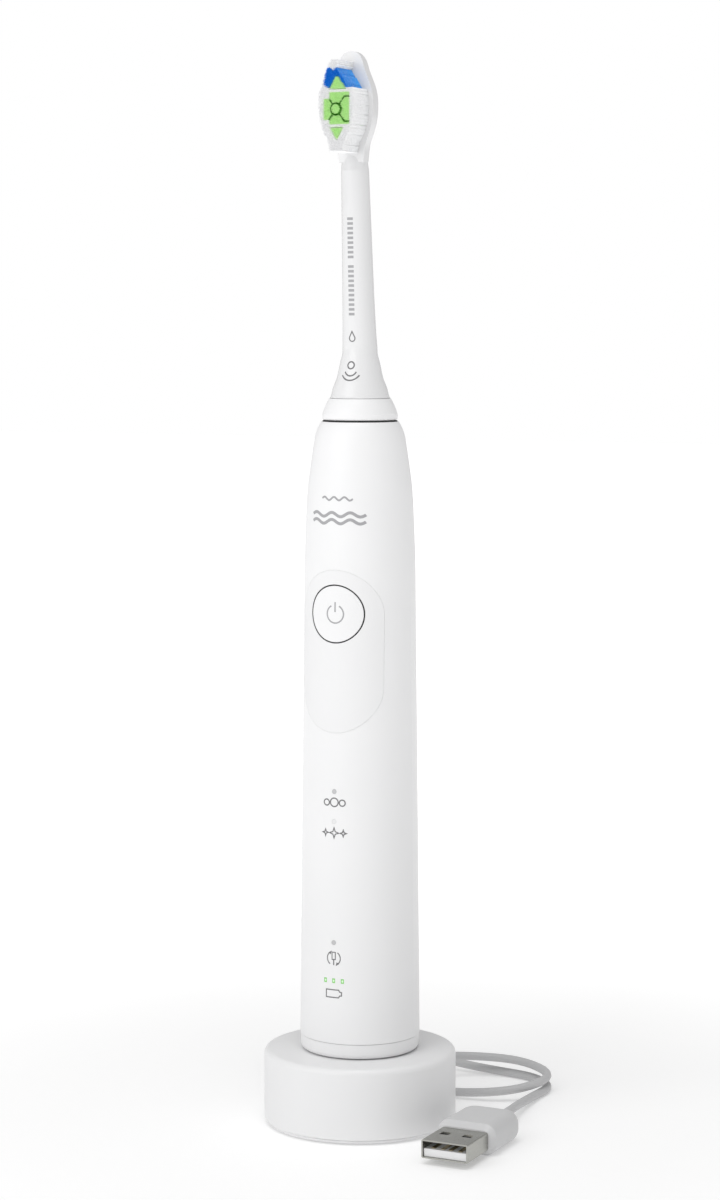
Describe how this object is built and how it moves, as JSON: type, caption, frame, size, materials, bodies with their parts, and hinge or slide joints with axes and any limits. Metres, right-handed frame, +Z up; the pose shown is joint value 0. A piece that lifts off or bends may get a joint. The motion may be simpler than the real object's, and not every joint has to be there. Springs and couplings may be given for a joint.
{
  "type": "electric toothbrush with charger",
  "caption": "Slim rechargeable electric toothbrush with a lift-off brush head, standing on the post of a round induction charger with a corded USB plug.",
  "frame": {"origin": "centre of the charger's round foot, on the surface that it stands on", "axes": "+Z up along the handle, -Y toward the button and bristle side, +X to the right when the button faces the viewer"},
  "size_m": [0.0824, 0.0841, 0.2645],
  "materials": {
    "white_satin": "satin white moulded plastic",
    "white_gloss": "glossy white moulded plastic",
    "white_soft": "soft-touch white elastomer",
    "grey_rubber": "dark grey elastomer",
    "white_cord": "white flexible cord jacket",
    "plug_plastic": "light grey-white moulded plug",
    "steel": "bright steel",
    "shell_metal": "nickel-plated steel",
    "gold": "gold-plated contact",
    "copper": "enamelled copper winding",
    "ferrite": "dark ferrite",
    "board_green": "circuit board",
    "battery_wrap": "plastic-wrapped cell",
    "inner_plastic": "grey structural plastic",
    "light_green": "lit green light window",
    "light_grey": "unlit light window",
    "bristle_white": "white nylon filaments",
    "bristle_blue": "blue nylon filaments",
    "bristle_green": "green nylon filaments"
  },
  "bodies": {
    "charger": {"charger_cover": "white_satin", "charger_base_plate": "white_satin", "charger_foot_ring": "grey_rubber", "charger_screw_1": "steel", "charger_screw_2": "steel", "charger_screw_3": "steel", "charger_ferrite_core": "ferrite", "charger_coil_bobbin": "inner_plastic", "charger_coil": "copper", "charger_circuit_board": "board_green", "cord_strain_relief": "white_cord", "charger_cord_loop": "white_cord", "charger_cord_lead": "white_cord", "charger_cord_coil": "white_cord", "cord_tie": "grey_rubber", "usb_plug_body": "plug_plastic", "usb_plug_shell": "shell_metal", "usb_plug_tongue": "white_satin", "usb_contacts": "gold"},
    "handle": {"handle_housing": "white_satin", "handle_bottom_cap": "white_satin", "handle_cap_seal": "grey_rubber", "grip_panel": "white_soft", "button_ring": "grey_rubber", "mode_light_1": "light_grey", "mode_light_2": "white_gloss", "reminder_light": "light_grey", "battery_light_1": "light_green", "battery_light_2": "light_green", "battery_light_3": "light_green", "handle_charging_coil": "copper", "handle_coil_bobbin": "inner_plastic", "battery": "battery_wrap", "battery_contact_lower": "steel", "battery_contact_upper": "steel", "inner_frame": "inner_plastic", "main_circuit_board": "board_green", "push_switch": "ferrite", "stator_pole_left": "steel", "stator_pole_right": "steel", "stator_coil": "copper", "motor_plate_lower": "inner_plastic", "motor_plate_upper": "inner_plastic", "shaft_bearing_lower": "gold", "shaft_bearing_upper": "gold", "bearing_carrier": "inner_plastic", "drive_spring": "steel", "shaft_seal": "grey_rubber"},
    "power_button_body": {"power_button": "white_satin", "button_plunger": "ferrite"},
    "drive": {"drive_shaft": "steel", "rotor_hub": "steel", "rotor_magnets": "ferrite"},
    "brush_head": {"brush_collar": "white_satin", "brush_neck": "white_gloss", "brush_shaft_socket": "inner_plastic", "brush_retaining_clip": "steel", "bristles_white": "bristle_white", "bristles_blue": "bristle_blue", "bristles_green": "bristle_green"}
  },
  "joints": [
    {"name": "handle_lift", "type": "slide", "parent": "charger", "child": "handle", "axis": [0, 0, 1], "range_m": [0, 0.03]},
    {"name": "power_button_press", "type": "slide", "parent": "handle", "child": "power_button_body", "axis": [0, 1, 0], "range_m": [0, 0.0006], "stiffness_N_per_m": 1800, "springref_m": -0.0004},
    {"name": "drive_oscillation", "type": "hinge", "parent": "handle", "child": "drive", "pos_m": [0, 0, 0.12], "axis": [0, 0, 1], "range_deg": [-6, 6], "stiffness_Nm_per_rad": 0.6},
    {"name": "brush_head_lift", "type": "slide", "parent": "drive", "child": "brush_head", "axis": [0, 0, 1], "range_m": [0, 0.026]}
  ]
}
